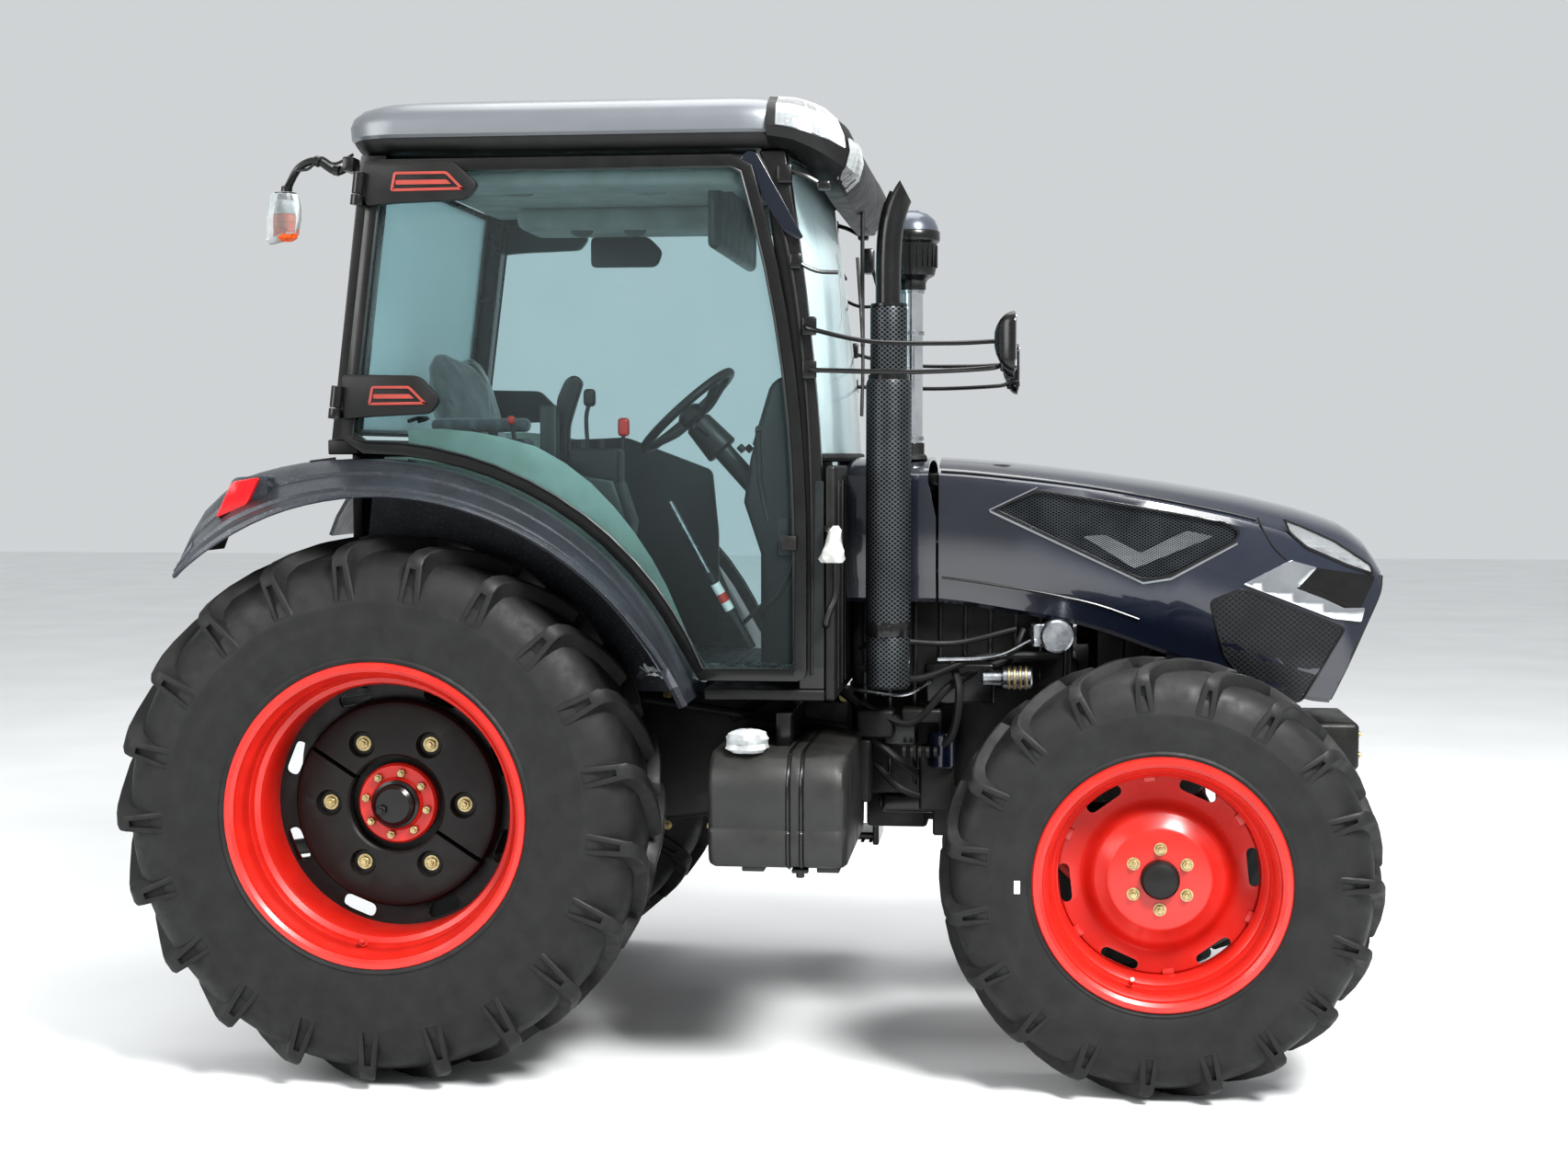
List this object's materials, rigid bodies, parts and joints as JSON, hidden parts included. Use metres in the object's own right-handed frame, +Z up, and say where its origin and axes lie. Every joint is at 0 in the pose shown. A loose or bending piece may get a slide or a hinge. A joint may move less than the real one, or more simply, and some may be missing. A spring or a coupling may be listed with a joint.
{
  "type": "farm tractor",
  "caption": "Four-wheel-drive farm tractor with a glazed cab, lifting hood, hinged doors, steered front wheels and a rear three-point linkage.",
  "frame": {"origin": "on the ground under the middle of the tractor's length and width", "axes": "+X forward, +Y to the tractor's left, +Z up"},
  "size_m": [3.4872, 1.95, 2.652],
  "materials": {
    "navy_paint": "gloss navy-black",
    "red_paint": "gloss red",
    "tyre_rubber": "matte rubber",
    "black_casting": "black painted casting",
    "fender_grey": "dark grey metallic",
    "roof_silver": "silver-grey satin",
    "tinted_glass": "green-blue tint",
    "tank_plastic": "dark grey moulded",
    "black_trim": "satin black",
    "seat_fabric": "dark woven",
    "bright_steel": "bright",
    "amber_lens": "amber"
  },
  "bodies": {
    "chassis": {"engine_block": "black_casting", "gearbox_housing": "black_casting", "rear_axle_housing": "black_casting", "front_support": "black_casting", "weight_bracket": "black_casting", "front_axle": "black_casting", "drive_shaft_guard": "black_casting", "exhaust_stack": "black_casting", "drawbar": "black_casting", "fuel_tank": "tank_plastic", "battery_steps": "black_trim", "cab_floor": "black_trim", "front_pillar_right": "black_trim", "front_pillar_left": "black_trim", "rear_pillar_right": "black_trim", "rear_pillar_left": "black_trim", "seat_base": "black_trim", "dashboard": "black_trim", "side_console": "black_trim", "mirror_right": "black_trim", "mirror_left": "black_trim", "cab_cowl": "navy_paint", "roof": "roof_silver", "windscreen": "tinted_glass", "fender_right": "fender_grey", "fender_left": "fender_grey", "seat_cushion": "seat_fabric", "seat_backrest": "seat_fabric", "air_intake": "bright_steel", "beacon": "amber_lens"},
    "hood": {"hood": "navy_paint"},
    "door_right": {"door_right": "tinted_glass"},
    "door_left": {"door_left": "tinted_glass"},
    "rear_window": {"rear_window": "tinted_glass"},
    "steering_wheel": {"steering_wheel": "black_trim"},
    "knuckle_right": {"knuckle_right": "black_casting"},
    "knuckle_left": {"knuckle_left": "black_casting"},
    "steering_rod": {"steering_rod": "bright_steel"},
    "front_wheel_right": {"front_tyre_right": "tyre_rubber", "front_rim_right": "red_paint"},
    "front_wheel_left": {"front_tyre_left": "tyre_rubber", "front_rim_left": "red_paint"},
    "rear_wheel_right": {"rear_tyre_right": "tyre_rubber", "rear_rim_right": "red_paint", "rear_weight_right": "black_casting"},
    "rear_wheel_left": {"rear_tyre_left": "tyre_rubber", "rear_rim_left": "red_paint", "rear_weight_left": "black_casting"},
    "lower_links": {"lower_link_right": "black_casting", "lower_link_left": "black_casting"},
    "lift_arms": {"lift_arms": "black_casting"},
    "lift_rods": {"lift_rod_right": "black_casting", "lift_rod_left": "black_casting"}
  },
  "joints": [
    {"name": "hood_lift", "type": "hinge", "parent": "chassis", "child": "hood", "pos_m": [0.521, 0, 1.64], "axis": [0, -1, 0], "range_deg": [0, 45]},
    {"name": "door_right_swing", "type": "hinge", "parent": "chassis", "child": "door_right", "pos_m": [-1.101, -0.765, 1.844], "axis": [-0.1185, 0, -0.993], "range_deg": [0, 70]},
    {"name": "door_left_swing", "type": "hinge", "parent": "chassis", "child": "door_left", "pos_m": [-1.101, 0.765, 1.844], "axis": [0.1185, 0, 0.993], "range_deg": [0, 70]},
    {"name": "rear_window_lift", "type": "hinge", "parent": "chassis", "child": "rear_window", "pos_m": [-1.031, 0, 2.473], "axis": [0, 1, 0], "range_deg": [0, 40]},
    {"name": "steer_left", "type": "hinge", "parent": "chassis", "child": "knuckle_left", "pos_m": [1.104, 0.53, 0.58], "axis": [0, 0, 1], "range_deg": [-40, 40]},
    {"name": "steer_right", "type": "hinge", "parent": "chassis", "child": "knuckle_right", "pos_m": [1.104, -0.53, 0.58], "axis": [0, 0, 1], "range_deg": [-40, 40]},
    {"name": "steering_rod_slide", "type": "slide", "parent": "chassis", "child": "steering_rod", "axis": [0, 1, 0], "range_m": [-0.105, 0.105]},
    {"name": "steering_wheel_turn", "type": "hinge", "parent": "chassis", "child": "steering_wheel", "pos_m": [-0.264, 0, 1.82], "axis": [-0.6691, 0, 0.7431], "range_deg": [-720, 720]},
    {"name": "front_wheel_left_spin", "type": "hinge", "parent": "knuckle_left", "child": "front_wheel_left", "pos_m": [1.104, 0.71, 0.58], "axis": [0, 1, 0], "continuous": true},
    {"name": "front_wheel_right_spin", "type": "hinge", "parent": "knuckle_right", "child": "front_wheel_right", "pos_m": [1.104, -0.71, 0.58], "axis": [0, 1, 0], "continuous": true},
    {"name": "rear_wheel_left_spin", "type": "hinge", "parent": "chassis", "child": "rear_wheel_left", "pos_m": [-0.956, 0.75, 0.7375], "axis": [0, 1, 0], "continuous": true},
    {"name": "rear_wheel_right_spin", "type": "hinge", "parent": "chassis", "child": "rear_wheel_right", "pos_m": [-0.956, -0.75, 0.7375], "axis": [0, 1, 0], "continuous": true},
    {"name": "linkage_lift", "type": "hinge", "parent": "chassis", "child": "lower_links", "pos_m": [-1.116, 0, 0.5], "axis": [0, 1, 0], "range_deg": [-10, 35]},
    {"name": "lift_arms_turn", "type": "hinge", "parent": "chassis", "child": "lift_arms", "pos_m": [-1.156, 0, 0.93], "axis": [0, 1, 0], "range_deg": [-10, 35]},
    {"name": "lift_rods_turn", "type": "hinge", "parent": "lift_arms", "child": "lift_rods", "pos_m": [-1.4828, 0, 0.8841], "axis": [0, 1, 0], "range_deg": [-35, 10]}
  ],
  "couplings": [
    {"joint": "steer_right", "follows": "steer_left", "ratio": 1},
    {"joint": "steering_rod_slide", "follows": "steer_left", "m_per_rad": 0.1473},
    {"joint": "steering_wheel_turn", "follows": "steer_left", "ratio": 18},
    {"joint": "lift_arms_turn", "follows": "linkage_lift", "ratio": 1},
    {"joint": "lift_rods_turn", "follows": "linkage_lift", "ratio": -1}
  ]
}
